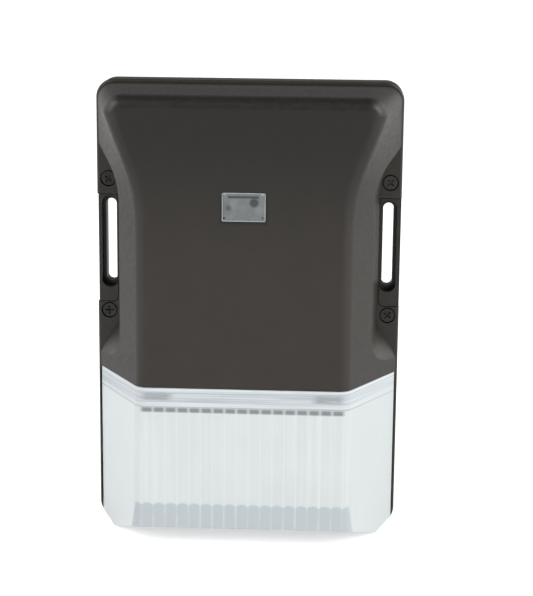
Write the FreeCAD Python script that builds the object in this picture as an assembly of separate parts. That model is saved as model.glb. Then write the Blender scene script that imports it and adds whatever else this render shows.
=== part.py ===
import FreeCAD, Part
import math
import os

# A small wall pack light: a shallow cast back housing that screws flat to a wall, a cast front
# cover with scooped sides, a fluted lens below it, and the lamp engine and driver between them.
# Millimetres. The wall is the plane y = 0, the light faces -Y, +Z is up, and the origin is the
# middle of the face on the wall. A depth is a distance from the wall.

os.makedirs("parts", exist_ok=True)

# ---- housing and cover: overall sizes ----
width = 133.0
height = 199.0
corner_radius = 8.0
rim_depth = 8.0            # wall to the housing's front rim
parting_gap = 0.3          # rim to cover, filled by the gasket
flange_depth = 12.0        # wall to the front of the cover's flange
panel_depth = 48.0         # wall to the flat front panel
housing_floor = 3.0
cover_wall = 2.5
flange_edge_round = 1.0

# ---- hood: a body with flat sloping sides, scooped out at the ears ----
foot_margin = 0.8          # flange edge to the hood's foot, at the sides
foot_top_margin = 1.7
foot_corner = 7.0
waist_inset = 9.5          # flange edge to the foot between the ears
hood_rise = 71.6           # flange's lower edge to the hood's lower edge
hip_rise = 2.9             # hood's lower edge to where the foot starts to draw in
hip_height = 20.0          # from there up to the waist
hip_low_pull = 10.0        # how long the foot's curve keeps its direction, at either end
hip_high_pull = 6.0
waist_drop = 51.5          # flange's upper edge down to the waist's upper end
shoulder_drop = 25.0       # and down to where the foot is wide again
shoulder_low_pull = 17.0
shoulder_high_pull = 6.0
scoop_draft = 5.0          # how far the scoop's wall leans in, from flange to panel
scoop_overrun = 0.4        # how far the scoop's ends run past the foot's line
ramp_drops = (50.0, 34.0, 17.0, 11.0)   # how much lower the ramp is there, from its low end up
ramp_leans = (5.7, 5.7, 5.0, 5.0)
panel_inset = 22.5         # flange edge to the flat front panel
panel_flare_drop = 59.5    # flange's upper edge down to where the panel starts to widen
panel_wide_drop = 21.5     # and down to where it is widest
panel_wide_inset = 12.7
panel_flare_pull = 16.0
panel_lean = 0.42          # how far the sides lean out above the flare, for each unit up
panel_top_drop = 2.2       # how much lower the panel's top edge is than the foot's
panel_corner = 8.0
panel_edge_round = 5.5
land_width = 0.6           # how much tighter the flange's opening is than the hood's hollow

# ---- side ears: cover screws and wall slots ----
ear_inset = 5.0            # flange edge to the cover screws
upper_screw_drop = 43.3
lower_screw_rise = 25.3    # hood's lower edge to the lower screws
top_seam_drop = 50.1       # seams between the ears and the slot blocks
low_seam_rise = 3.8        # lower screws to the lower seam
seam_gap = 0.3
notch_gap = 0.2            # hood's foot to the notch that the block fills
block_edge_inset = 0.6
block_front_step = 0.2
block_corner = 2.5
slot_inset = 5.5           # flange edge to the slots
slot_width = 4.6
slot_end_margin = 2.0      # recess end to slot end
recess_width = 7.4
recess_top_margin = 0.7    # upper seam to the recess
recess_low_margin = 6.5
recess_depth = 5.7
screw_radius = 1.75
screw_head_radius = 3.0
screw_head_height = 2.0
screw_reach = 6.4          # how far a cover screw stands into the housing
counterbore_radius = 3.6
counterbore_depth = 2.2
hole_clearance = 0.2
thread_clearance = 0.3
screw_end_gap = 0.3

# ---- gaskets ----
gasket_inset = 0.8
gasket_width = 1.3
gasket_groove = 1.3
gasket_side_gap = 0.1
wall_gasket_side_inset = 14.5
wall_gasket_low_inset = 37.5
wall_gasket_high_inset = 17.5
wall_gasket_width = 4.0
wall_gasket_thickness = 1.2
wall_gasket_corner = 8.0

# ---- lens ----
lens_margin = 1.3          # flange edge to the lens's foot, at the sides
lens_bottom_margin = 8.9
lens_gap = 0.3             # below the hood and round the rebate
lens_wall = 2.4
lens_step = 0.4            # lens front edge outside the panel's edge, at the top
lens_spread = 2.4          # and at the bottom
lens_edge_round = 5.5
lens_side_bulge = 5.0      # how far the side wall bows out at the bottom
lens_bow = 0.2             # the same at the top
opening_corner = 4.0
rebate_depth = 1.5
rebate_width = 3.3
crossbar = 6.0
lens_bead = 0.4
band_height = 8.3          # clear smooth band along the top
flute_pitch = 5.1
flute_rise = 0.9
flute_end_margin = 4.0     # lower flutes to the lens's foot
lens_low_bevel = 1.4

# ---- photocell window ----
window_drop = 49.5         # flange's upper edge to the window's middle
window_width = 18.4
window_height = 12.2
window_corner = 1.2
window_gap = 0.15
window_recess = 0.5
window_lip = 1.6
window_lip_thickness = 1.2

# ---- wall and box fixings ----
entry_z = 14.0
entry_radius = 11.0
box_screw_spacing = 88.9
box_screw_radius = 2.4

# ---- lamp engine: sizes from the opening behind the lens inwards ----
pad_side_margin = 19.2
pad_end_margin = 3.1
pad_corner = 4.0
pad_depth = 6.0
thermal_thickness = 0.4
board_margin = 2.0         # pad edge to board edge
board_corner = 2.0
board_thickness = 1.6
chip_pitch_x = 9.0
chip_pitch_z = 12.0
chip_size = 3.5
chip_thickness = 0.8
board_screw_inset = 3.5
board_screw_radius = 1.25
board_screw_head = 2.4
board_screw_head_height = 1.3
board_screw_length = 5.0
board_hole_depth = 4.2
reflector_gap = 1.2        # to the cover's opening, all round
reflector_depth = 10.2
reflector_wall = 0.8
reflector_rise = 3.0
reflector_corner = 4.0
reflector_window_inset = 5.0
reflector_window_end_inset = 6.0
reflector_window_corner = 3.0
reflector_post_inset = 7.5
reflector_post_radius = 3.0
reflector_hole_depth = 5.0

# ---- driver ----
driver_x = -6.0
driver_drop = 22.5         # flange's upper edge to the driver's middle
driver_length = 80.0
driver_height = 30.0
driver_base = 4.5
driver_thickness = 22.5
driver_wall = 1.6
driver_corner = 3.0
potting_drop = 1.0
lug_length = 7.0
lug_height = 12.0
lug_thickness = 2.2
driver_screw_radius = 1.5
driver_screw_head = 3.0
driver_screw_head_height = 1.8
driver_screw_length = 5.0
short_screw_length = 3.6
inner_hole_start = 1.0     # wall to the bottom of the blind holes

# ---- photocell ----
bracket_half = 5.0
bracket_thickness = 1.0
bracket_drop = 4.0         # window's middle down to the bracket's lower ends
bracket_rise = 9.0
bracket_base = 4.0
cell_board_half = 7.5
cell_board_height = 10.0
cell_board_thickness = 1.2
cell_x = 4.2               # sensor from the window's middle
cell_rise = 1.4
cell_radius = 2.2
cell_height = 1.6
cell_to_window = 0.5

# ---- leads ----
lead_radius = 0.9
thin_lead_radius = 0.5
lead_sides = 8
bend_share = 0.45          # how much of the shorter run a bend takes up
bend_steps = 3
led_lead_x = 24.0
led_lead_spacing = 2.6
led_lead_depth = 5.0
led_lead_end = 3.0         # board's upper edge to where the leads end
lead_exit_depth = 14.0
lead_straight = 5.0
line_exit = -20.0
neutral_exit = 12.0
nut_drop = 33.0            # driver's lower side to the wire connectors
nut_radius = 4.6
nut_tip_radius = 3.0
nut_wall = 1.2
nut_bore_length = 9.0
nut_sides = 12
nut_length = 15.0
nut_depth = 14.0
nut_spacing = 13.0
earth_x = -34.0
earth_rise = 1.0           # connectors' lower ends to the earth screw
earth_boss_radius = 4.0
earth_boss_height = 2.0

# ---- places that follow from the sizes ----
half_width = width / 2
half_height = height / 2
rim_front = rim_depth + parting_gap
foot_half = half_width - foot_margin
foot_top = half_height - foot_top_margin
waist_half = half_width - waist_inset
waist_end = half_height - waist_drop
shoulder_end = half_height - shoulder_drop
hood_bottom = hood_rise - half_height
hip_start = hood_bottom + hip_rise
waist_start = hip_start + hip_height
panel_half = half_width - panel_inset
panel_flare_start = half_height - panel_flare_drop
panel_flare_end = half_height - panel_wide_drop
panel_flare_half = half_width - panel_wide_inset
ear_x = half_width - ear_inset
upper_screw_z = half_height - upper_screw_drop
lower_screw_z = hood_bottom + lower_screw_rise
ear_top_seam = half_height - top_seam_drop
ear_low_seam = lower_screw_z + low_seam_rise
slot_x = half_width - slot_inset
recess_high = ear_top_seam - recess_top_margin
recess_low = ear_low_seam + recess_low_margin
slot_z = (recess_high + recess_low) / 2
recess_length = recess_high - recess_low
slot_length = recess_length - 2 * slot_end_margin
lens_half = half_width - lens_margin
lens_bottom = lens_bottom_margin - half_height
lens_top = hood_bottom - lens_gap
opening_half = lens_half + lens_gap - rebate_width
opening_top = hood_bottom + cover_wall - crossbar
opening_low = lens_bottom - lens_gap + rebate_width
engine_z = (opening_top + opening_low) / 2
pad_half = opening_half - pad_side_margin
pad_reach = (opening_top - opening_low) / 2 - pad_end_margin
board_half = pad_half - board_margin
board_reach = pad_reach - board_margin
board_front = pad_depth + thermal_thickness + board_thickness
reflector_window_half = board_half - reflector_window_inset
reflector_window_reach = board_reach - reflector_window_end_inset
reflector_post_x = opening_half - reflector_post_inset
window_z = half_height - window_drop
driver_z = half_height - driver_drop
driver_low = driver_z - driver_height / 2
nut_z = driver_low - nut_drop
earth_z = nut_z + earth_rise
vec = FreeCAD.Vector
out = vec(0, -1, 0)


# ---- drawing helpers: an outline is a list of (kind, points) pieces in x and z ----
def corner(x, z, radius, side_x, side_z):
    """A quarter round that ends a vertical side at a horizontal one."""
    mid = radius * (1 - math.sqrt(0.5))
    return ("arc", [(x, z - side_z * radius), (x - side_x * mid, z - side_z * mid),
                    (x - side_x * radius, z)])


def mirrored(pieces):
    return [(kind, [(-x, z) for x, z in reversed(points)]) for kind, points in reversed(pieces)]


def edge(kind, points, depth):
    places = [vec(x, -depth, z) for x, z in points]
    if kind == "line":
        return Part.makeLine(*places)
    if kind == "arc":
        return Part.Arc(*places).toShape()
    curve = Part.BezierCurve()
    curve.setPoles(places)
    return curve.toShape()


def outline(pieces, depth):
    return Part.Wire([edge(kind, points, depth) for kind, points in pieces])


def prism(wire, thickness):
    """A flat outline pushed away from the wall."""
    return Part.Face(wire).extrude(out * thickness)


def ring(outer, inner, thickness):
    return prism(outer, thickness).cut(prism(inner, thickness))


def rounded(x_low, x_high, z_low, z_high, radius, depth):
    mid = (x_low + x_high) / 2
    half = (x_high - x_low) / 2
    right = [
        flipped(corner(half, z_low, radius, 1, -1)),
        ("line", [(half, z_low + radius), (half, z_high - radius)]),
        corner(half, z_high, radius, 1, 1),
    ]
    top = ("line", [(half - radius, z_high), (radius - half, z_high)])
    bottom = ("line", [(radius - half, z_low), (half - radius, z_low)])
    wire = outline(right + [top] + mirrored(right) + [bottom], depth)
    wire.translate(vec(mid, 0, 0))
    return wire


def flipped(piece):
    return (piece[0], piece[1][::-1])


def rounded_block(x_low, x_high, z_low, z_high, radius, depth, thickness):
    return prism(rounded(x_low, x_high, z_low, z_high, radius, depth), thickness)


def block(x_low, x_high, z_low, z_high, depth, thickness):
    size = (x_high - x_low, thickness, z_high - z_low)
    return Part.makeBox(*size, vec(x_low, -depth - thickness, z_low))


def rod(x, z, radius, depth, length):
    return Part.makeCylinder(radius, length, vec(x, -depth, z), out)


def stadium(x, z, wide, long, depth, thickness):
    """An upright slot with round ends."""
    reach = (long - wide) / 2
    body = block(x - wide / 2, x + wide / 2, z - reach, z + reach, depth, thickness)
    ends = [rod(x, z + side * reach, wide / 2, depth, thickness) for side in (-1, 1)]
    return body.fuse(ends).removeSplitter()


def joined(shapes):
    return shapes[0].fuse(shapes[1:]).removeSplitter()


def save(name, shape):
    solids = shape.Solids
    bad = [s for s in solids if not s.isValid() or s.Volume <= 0]
    print(name, len(solids), "solids", round(sum(s.Volume for s in solids) / 1000, 2), "cm3",
          "BAD" if bad or not solids else "")
    shape.exportStep(f"parts/{name}.step")


# ---- the outlines that housing, cover and gaskets share ----
def hip_curve(inset):
    """The foot's line from full width in to the waist, upwards."""
    wide = foot_half - inset
    waist = waist_half - inset
    return ("curve", [(wide, hip_start), (wide, hip_start + hip_low_pull),
                      (waist, waist_start - hip_high_pull), (waist, waist_start)])


def shoulder_curve(inset):
    wide = foot_half - inset
    waist = waist_half - inset
    return ("curve", [(waist, waist_end), (waist, waist_end + shoulder_low_pull),
                      (wide, shoulder_end - shoulder_high_pull), (wide, shoulder_end)])


def closed(right, top, top_inner, bottom, bottom_inner):
    """A right side, its mirror image, and level lines between their ends."""
    top_line = ("line", [(top_inner, top), (-top_inner, top)])
    bottom_line = ("line", [(-bottom_inner, bottom), (bottom_inner, bottom)])
    return right + [top_line] + mirrored(right) + [bottom_line]


def foot_outline(inset, bottom, depth, bottom_corner=0.0):
    """The hood's foot, wide at top and bottom and drawn in between the ears."""
    wide = foot_half - inset
    waist = waist_half - inset
    top = foot_top - inset
    radius = foot_corner - inset
    right = [
        ("line", [(wide, bottom + bottom_corner), (wide, hip_start)]),
        hip_curve(inset),
        ("line", [(waist, waist_start), (waist, waist_end)]),
        shoulder_curve(inset),
        ("line", [(wide, shoulder_end), (wide, top - radius)]),
        corner(wide, top, radius, 1, 1),
    ]
    if bottom_corner:
        right.insert(0, flipped(corner(wide, bottom, bottom_corner, 1, -1)))
    return outline(closed(right, top, wide - radius, bottom, wide - bottom_corner), depth)


def wide_foot(inset, bottom):
    """The foot without its scoops, in as many pieces as the panel."""
    wide = foot_half - inset
    top = foot_top - inset
    radius = foot_corner - inset
    right = [
        ("line", [(wide, bottom), (wide, panel_flare_start)]),
        ("line", [(wide, panel_flare_start), (wide, panel_flare_end)]),
        ("line", [(wide, panel_flare_end), (wide, top - radius)]),
        corner(wide, top, radius, 1, 1),
    ]
    return closed(right, top, wide - radius, bottom, wide)


def panel(inset, bottom):
    """The front panel: straight sides that flare towards the top."""
    half = panel_half - inset
    flare = panel_flare_half - inset
    top = foot_top - panel_top_drop - inset
    radius = panel_corner - inset
    side_end = top - radius
    top_half = flare + panel_lean * (side_end - panel_flare_end)
    right = [
        ("line", [(half, bottom), (half, panel_flare_start)]),
        ("curve", [(half, panel_flare_start), (half, panel_flare_start + panel_flare_pull),
                   (flare - panel_lean * panel_flare_pull, panel_flare_end - panel_flare_pull),
                   (flare, panel_flare_end)]),
        ("line", [(flare, panel_flare_end), (top_half, side_end)]),
        corner(top_half, top, radius, 1, 1),
    ]
    return closed(right, top, top_half - radius, bottom, half)


def cavity_bottom():
    return foot_margin - half_height


def seal_outline(inset, depth):
    return foot_outline(inset, cavity_bottom() + inset, depth, foot_corner - inset)


def at_screws(make):
    spots = [(side * ear_x, z) for side in (-1, 1) for z in (upper_screw_z, lower_screw_z)]
    return [make(x, z) for x, z in spots]


# ---- back housing ----
def ear_block(side, inner, outer, low, high, radius, depth, thickness):
    """A block whose lower corner next to the hood is rounded."""
    x_low, x_high = sorted((side * inner, side * outer))
    body = block(x_low, x_high, low, high, depth, thickness)
    box = FreeCAD.BoundBox(side * inner - 0.1, -depth - thickness - 0.1, low - 0.1,
                           side * inner + 0.1, 0.1 - depth, low + 0.1)
    return body.makeFillet(radius, [e for e in body.Edges if box.isInside(e.BoundBox)])


def slot_block(side):
    """The raised block with a recessed wall slot that fills a notch in the cover."""
    rise = flange_depth - block_front_step - rim_depth
    return ear_block(side, waist_half + notch_gap + seam_gap, half_width - block_edge_inset,
                     ear_low_seam + seam_gap, ear_top_seam - seam_gap, block_corner,
                     rim_depth - 1, rise + 1)


def slot_cut(side):
    recess_floor = flange_depth - recess_depth
    recess = stadium(side * slot_x, slot_z, recess_width, recess_length, recess_floor, recess_depth)
    through = stadium(side * slot_x, slot_z, slot_width, slot_length, -1, recess_floor + 2)
    return recess.fuse(through)


def box_screw_spots():
    return [(side * box_screw_spacing / 2, entry_z) for side in (-1, 1)]


def driver_screw_spots():
    reach = driver_length / 2 + lug_length / 2
    return [(driver_x + side * reach, driver_z) for side in (-1, 1)]


def board_screw_spots():
    across = board_half - board_screw_inset
    up = board_reach - board_screw_inset
    return [(sx * across, engine_z + sz * up) for sx in (-1, 1) for sz in (-1, 1)]


def reflector_spots():
    return [(side * reflector_post_x, engine_z) for side in (-1, 1)]


def bosses():
    """Posts and the lamp pad that stand on the housing's floor."""
    root = housing_floor - 0.5
    pad = rounded_block(-pad_half, pad_half, engine_z - pad_reach, engine_z + pad_reach,
                        pad_corner, root, pad_depth - root)
    posts = [rod(x, z, lug_height / 2 - 1.5, root, driver_base - root)
             for x, z in driver_screw_spots()]
    posts += [rod(x, z, reflector_post_radius, root, reflector_depth - root)
              for x, z in reflector_spots()]
    posts.append(rod(0, window_z, bracket_half, root, bracket_base - root))
    posts.append(rod(earth_x, earth_z, earth_boss_radius, root,
                     housing_floor + earth_boss_height - root))
    return [pad] + posts


def small_holes():
    """Blind holes for the inner screws, and the holes through the floor."""
    board_bore = board_screw_radius + thread_clearance / 3
    inner_bore = driver_screw_radius + thread_clearance / 3
    holes = [rod(x, z, board_bore, pad_depth - board_hole_depth, board_hole_depth + 1)
             for x, z in board_screw_spots()]
    holes += [rod(x, z, inner_bore, inner_hole_start, driver_base)
              for x, z in driver_screw_spots()]
    holes += [rod(x, z, board_bore, reflector_depth - reflector_hole_depth,
                  reflector_hole_depth + 1) for x, z in reflector_spots()]
    holes.append(rod(0, window_z, inner_bore, inner_hole_start, bracket_base))
    holes.append(rod(earth_x, earth_z, inner_bore, inner_hole_start,
                     housing_floor + earth_boss_height))
    holes += [rod(x, z, box_screw_radius, -1, housing_floor + 2) for x, z in box_screw_spots()]
    holes.append(rod(0, entry_z, entry_radius, -1, housing_floor + 2))
    return holes


def back_housing():
    body = rounded_block(-half_width, half_width, -half_height, half_height, corner_radius,
                         0, rim_depth)
    cavity = prism(seal_outline(gasket_inset * 2 + gasket_width, housing_floor), rim_depth)
    groove = ring(seal_outline(gasket_inset, rim_depth - gasket_groove),
                  seal_outline(gasket_inset + gasket_width, rim_depth - gasket_groove), 2)
    body = body.cut(cavity)
    body = joined([body] + [slot_block(side) for side in (-1, 1)] + bosses())
    screw_holes = at_screws(lambda x, z: rod(x, z, screw_radius + thread_clearance,
                                             rim_depth - screw_reach - screw_end_gap,
                                             screw_reach + 2))
    cuts = [groove, wall_gasket_ring(0), *screw_holes, *small_holes(), slot_cut(-1), slot_cut(1)]
    return body.cut(cuts)


# ---- gaskets ----
def cover_gasket():
    start = rim_depth - gasket_groove
    return ring(seal_outline(gasket_inset + gasket_side_gap, start),
                seal_outline(gasket_inset + gasket_width - gasket_side_gap, start),
                gasket_groove + parting_gap)


def wall_gasket_ring(gap):
    half = half_width - wall_gasket_side_inset
    low = wall_gasket_low_inset - half_height
    high = half_height - wall_gasket_high_inset
    outer = rounded(gap - half, half - gap, low + gap, high - gap, wall_gasket_corner - gap, 0)
    step = wall_gasket_width - gap
    inner = rounded(step - half, half - step, low + step, high - step,
                    wall_gasket_corner - step, 0)
    return ring(outer, inner, wall_gasket_thickness)


# ---- front cover ----
def closed_solid(faces):
    shell = Part.Shell(faces)
    shell.sewShape()
    solid = Part.Solid(shell)
    if solid.Volume < 0:
        solid.reverse()
    return Part.Solid(Part.Shell(solid.Faces))


def ruled_solid(back, back_depth, front, front_depth):
    """The solid between two outlines with as many pieces, straight from one to the other."""
    faces = [Part.Face(outline(back, back_depth)), Part.Face(outline(front, front_depth))]
    for (back_kind, back_points), (front_kind, front_points) in zip(back, front):
        near = edge(back_kind, back_points, back_depth)
        far = edge(front_kind, front_points, front_depth)
        ends = [near.firstVertex().Point, near.lastVertex().Point,
                far.lastVertex().Point, far.firstVertex().Point]
        twist = (ends[1] - ends[0]).cross(ends[2] - ends[0]).dot(ends[3] - ends[0])
        if back_kind == front_kind == "line" and abs(twist) < 1e-6:
            faces.append(Part.Face(Part.makePolygon(ends + ends[:1])))
        else:
            faces.append(Part.makeRuledSurface(near, far))
    return closed_solid(faces)


def ear_scoop(side, inset):
    """What is scooped out of the hood's side: a steep wall round the ear, and a ramp below it."""
    outer = half_width + 2

    def scoop_outline(hip, shoulder, depth):
        low, high = hip[0], shoulder[-1]
        pieces = [("curve", hip), ("line", [hip[-1], shoulder[0]]), ("curve", shoulder),
                  ("line", [high, (outer, high[1])]),
                  ("line", [(outer, high[1]), (outer, low[1])]), ("line", [(outer, low[1]), low])]
        return [(kind, [(side * x, z) for x, z in points]) for kind, points in pieces]

    hip = [list(p) for p in hip_curve(inset)[1]]
    shoulder = [list(p) for p in shoulder_curve(inset)[1]]
    hip[0][0] += scoop_overrun
    shoulder[-1][0] += scoop_overrun
    deep_hip = [(x - lean, z - drop) for (x, z), lean, drop in zip(hip, ramp_leans, ramp_drops)]
    deep_shoulder = [(x - scoop_draft, z) for x, z in shoulder]
    foot = scoop_outline([tuple(p) for p in hip], [tuple(p) for p in shoulder], flange_depth)
    deep = scoop_outline(deep_hip, deep_shoulder, panel_depth)
    return ruled_solid(foot, flange_depth, deep, panel_depth)


def hood_solid():
    """Drawn a little past its lower edge, rounded and scooped, then cut level."""
    spare = 2 * panel_edge_round
    low = hood_bottom - spare
    hood = ruled_solid(wide_foot(0, low), flange_depth, panel(0, low), panel_depth)
    front = [e for e in hood.Edges if front_edge(e)]
    below = block(-half_width, half_width, low - spare, hood_bottom, flange_depth - 1, panel_depth)
    return hood.makeFillet(panel_edge_round, front).cut([below, ear_scoop(-1, 0), ear_scoop(1, 0)])


def front_edge(candidate):
    """An edge round the front panel, apart from the lowest."""
    box = candidate.BoundBox
    return box.YMax < -panel_depth + 0.01 and box.ZMax > hood_bottom - panel_edge_round


def hood_hollow():
    bottom = hood_bottom + cover_wall
    deep = ruled_solid(wide_foot(cover_wall, bottom), flange_depth, panel(cover_wall, bottom),
                       panel_depth - cover_wall)
    deep = deep.cut([ear_scoop(side, cover_wall) for side in (-1, 1)])
    plain = prism(foot_outline(cover_wall + land_width, bottom, rim_depth),
                  flange_depth - rim_depth)
    return deep.fuse(plain)


def flange_plate():
    plate = rounded_block(-half_width, half_width, -half_height, half_height, corner_radius,
                          rim_front, flange_depth - rim_front)
    front = [e for e in plate.Edges if e.BoundBox.YMax < -flange_depth + 0.01]
    return plate.makeFillet(flange_edge_round, front)


def lens_opening():
    """The hole behind the lens, and the rebate that the lens's foot stands in."""
    inner = opening_half
    hole = rounded_block(-inner, inner, opening_low, opening_top, opening_corner,
                         rim_depth - 1, flange_depth)
    wide = lens_half + lens_bow + lens_gap
    rebate = block(-wide, wide, lens_bottom - lens_gap, hood_bottom,
                   flange_depth - rebate_depth, panel_depth)
    return hole, rebate


def window_hole():
    half = window_width / 2 + window_gap
    tall = window_height / 2 + window_gap
    return rounded_block(-half, half, window_z - tall, window_z + tall, window_corner + window_gap,
                         panel_depth - cover_wall - 2, cover_wall + 4)


def notch(side):
    return ear_block(side, waist_half + notch_gap, half_width + 1, ear_low_seam, ear_top_seam,
                     block_corner + seam_gap, rim_depth - 1, flange_depth)


def ear_hole(x, z):
    shaft = rod(x, z, screw_radius + hole_clearance, rim_depth - 1, flange_depth)
    seat = rod(x, z, counterbore_radius, flange_depth - counterbore_depth, 6)
    return shaft.fuse(seat)


def front_cover():
    plate = flange_plate()
    hood = hood_solid()
    body = plate.fuse(hood)
    hole, rebate = lens_opening()
    body = body.cut([hood_hollow(), hole, rebate])
    body = body.cut([window_hole(), notch(-1), notch(1)] + at_screws(ear_hole))
    return body


# ---- lens ----
def plan_section(front_half, bulge, inset, front_depth, back_depth, z):
    """A level cut through the lens: side walls that bow out and round into the front."""
    back_half = lens_half - inset
    front = front_half - inset
    radius = lens_edge_round - inset
    run = front_depth - back_depth
    slope = back_half - front
    chord = math.hypot(slope, run)
    side_radius = (chord ** 2 / 4 + bulge ** 2) / (2 * bulge)
    reach = side_radius - bulge
    middle_x = (back_half + front) / 2 - reach * run / chord
    middle_depth = (back_depth + front_depth) / 2 - reach * slope / chord
    round_depth = front_depth - radius
    inner_reach = side_radius - radius
    round_x = middle_x + math.sqrt(inner_reach ** 2 - (round_depth - middle_depth) ** 2)
    meet = math.atan2(round_depth - middle_depth, round_x - middle_x)
    foot = math.atan2(back_depth - middle_depth, back_half - middle_x)

    def on_side(angle):
        return (middle_x + side_radius * math.cos(angle),
                middle_depth + side_radius * math.sin(angle))

    def on_round(angle):
        return (round_x + radius * math.cos(angle), round_depth + radius * math.sin(angle))

    quarter = math.pi / 2
    side = [on_side(foot), on_side((foot + meet) / 2), on_side(meet)]
    front_round = [on_side(meet), on_round((meet + quarter) / 2), on_round(quarter)]
    half = [("arc", side), ("arc", front_round)]
    front_line = ("line", [on_round(quarter), (-round_x, front_depth)])
    back_line = ("line", [(-back_half, back_depth), (back_half, back_depth)])
    places = {"line": Part.makeLine, "arc": lambda *p: Part.Arc(*p).toShape()}
    pieces = half + [front_line] + mirrored(half) + [back_line]
    return [places[kind](*[vec(x, -depth, z) for x, depth in points]) for kind, points in pieces]


def lens_body(inset, back_depth, top, bottom, bevel=0.0):
    front = panel_depth - inset
    top_half = panel_half + lens_step
    low_half = panel_half + lens_spread
    sections = [plan_section(top_half, lens_bow, inset, front, back_depth, top),
                plan_section(low_half, lens_side_bulge, inset, front, back_depth, bottom + bevel)]
    if bevel:
        sections.append(plan_section(low_half, lens_side_bulge, inset + bevel, front - bevel,
                                     back_depth, bottom))
    return Part.makeLoft([Part.Wire(pieces) for pieces in sections], True, True)


def flute_count():
    return int(2 * panel_half // flute_pitch)


def scallops():
    """The row of half-round flutes, drawn flat: (across, rise) points, arc by arc."""
    count = flute_count()
    steps = [(i - count / 2) * flute_pitch for i in range(count)]
    return [((x, 0), (x + flute_pitch / 2, flute_rise), (x + flute_pitch, 0)) for x in steps]


def flutes(place, along, sink):
    """The flutes as one solid: place turns (across, rise) into a point, along is their run."""
    arcs = [Part.Arc(*[place(*p) for p in arc]).toShape() for arc in scallops()]
    half = flute_count() * flute_pitch / 2
    base = Part.makePolygon([place(half, 0), place(half, -sink), place(-half, -sink), place(-half, 0)])
    return Part.Face(Part.Wire(arcs + base.Edges)).extrude(along)


def lens():
    foot = flange_depth - rebate_depth + lens_bead
    outer = lens_body(0, foot, lens_top, lens_bottom, lens_low_bevel)
    inner = lens_body(lens_wall, foot - 1, lens_top - lens_wall, lens_bottom + lens_wall)
    shell = outer.cut(inner)
    band_end = hood_bottom - band_height
    front_face = panel_depth - lens_wall
    floor = lens_bottom + lens_wall
    sink = lens_wall / 2
    upright = flutes(lambda x, rise: vec(x, rise - front_face, band_end), vec(0, 0, floor - band_end),
                     sink)
    level = flutes(lambda x, rise: vec(x, -front_face, floor + rise), vec(0, front_face - foot - flute_end_margin, 0),
                   sink)
    return joined([shell, upright, level])


def lens_seal():
    start = flange_depth - rebate_depth
    inner = lens_half - lens_wall
    outside = block(-lens_half, lens_half, lens_bottom, lens_top, start, lens_bead)
    inside = block(-inner, inner, lens_bottom + lens_wall, lens_top - lens_wall, start, lens_bead)
    return outside.cut(inside)


# ---- photocell window ----
def photocell_window():
    half = window_width / 2
    tall = window_height / 2
    inner = panel_depth - cover_wall
    pane = rounded_block(-half, half, window_z - tall, window_z + tall, window_corner,
                         inner, cover_wall - window_recess)
    lip = rounded_block(-half - window_lip, half + window_lip, window_z - tall - window_lip,
                        window_z + tall + window_lip, window_corner + window_lip,
                        inner - window_lip_thickness, window_lip_thickness)
    return joined([pane, lip])


# ---- fasteners ----
def cross_recess(x, z, radius, top, turn):
    long = radius * 1.2
    narrow = radius * 0.24
    deep = radius * 0.4
    bars = [block(-a / 2, a / 2, -b / 2, b / 2, top - deep, deep + 1)
            for a, b in ((long, narrow), (narrow, long))]
    cross = bars[0].fuse(bars[1])
    cross.rotate(vec(0, 0, 0), vec(0, 1, 0), turn)
    cross.translate(vec(x, 0, z))
    return cross


def screw(x, z, radius, head_radius, head_height, head_base, length):
    """A screw with its head's underside at head_base."""
    head = rod(x, z, head_radius, head_base, head_height)
    return head.fuse(rod(x, z, radius, head_base - length, length))


def cover_screws():
    base = flange_depth - counterbore_depth
    turns = iter((35, 0, 45, 40))
    length = base - rim_depth + screw_reach
    heads = {"radius": screw_radius, "head_radius": screw_head_radius,
             "head_height": screw_head_height, "head_base": base, "length": length}
    recess_top = base + screw_head_height
    made = at_screws(lambda x, z: screw(x, z, **heads).cut(
        cross_recess(x, z, screw_head_radius, recess_top, next(turns))))
    return Part.makeCompound(made)


def board_screws(spots, base):
    made = [screw(x, z, board_screw_radius, board_screw_head, board_screw_head_height, base,
                  board_screw_length) for x, z in spots]
    return Part.makeCompound(made)


def driver_screws(spots, base, length):
    made = [screw(x, z, driver_screw_radius, driver_screw_head, driver_screw_head_height, base,
                  length) for x, z in spots]
    return Part.makeCompound(made)


# ---- lamp engine ----
# ---- lamp engine ----
def thermal_pad():
    half = board_half - board_screw_inset * 2
    tall = board_reach - board_screw_inset * 2
    return block(-half, half, engine_z - tall, engine_z + tall, pad_depth, thermal_thickness)


def led_board():
    start = pad_depth + thermal_thickness
    board = rounded_block(-board_half, board_half, engine_z - board_reach, engine_z + board_reach,
                          board_corner, start, board_thickness)
    holes = [rod(x, z, board_screw_radius + hole_clearance, start - 1, board_thickness + 2)
             for x, z in board_screw_spots()]
    return board.cut(holes)


def chip_places(reach, pitch):
    """As many evenly spaced places as the reflector's window shows."""
    count = 1 + int((2 * reach - 2 * chip_size) // pitch)
    return [(i - (count - 1) / 2) * pitch for i in range(count)]


def led_chips():
    half = chip_size / 2
    chips = []
    for x in chip_places(reflector_window_half, chip_pitch_x):
        for rise in chip_places(reflector_window_reach, chip_pitch_z):
            z = engine_z + rise
            chips.append(block(x - half, x + half, z - half, z + half, board_front,
                               chip_thickness))
    return Part.makeCompound(chips)


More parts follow.
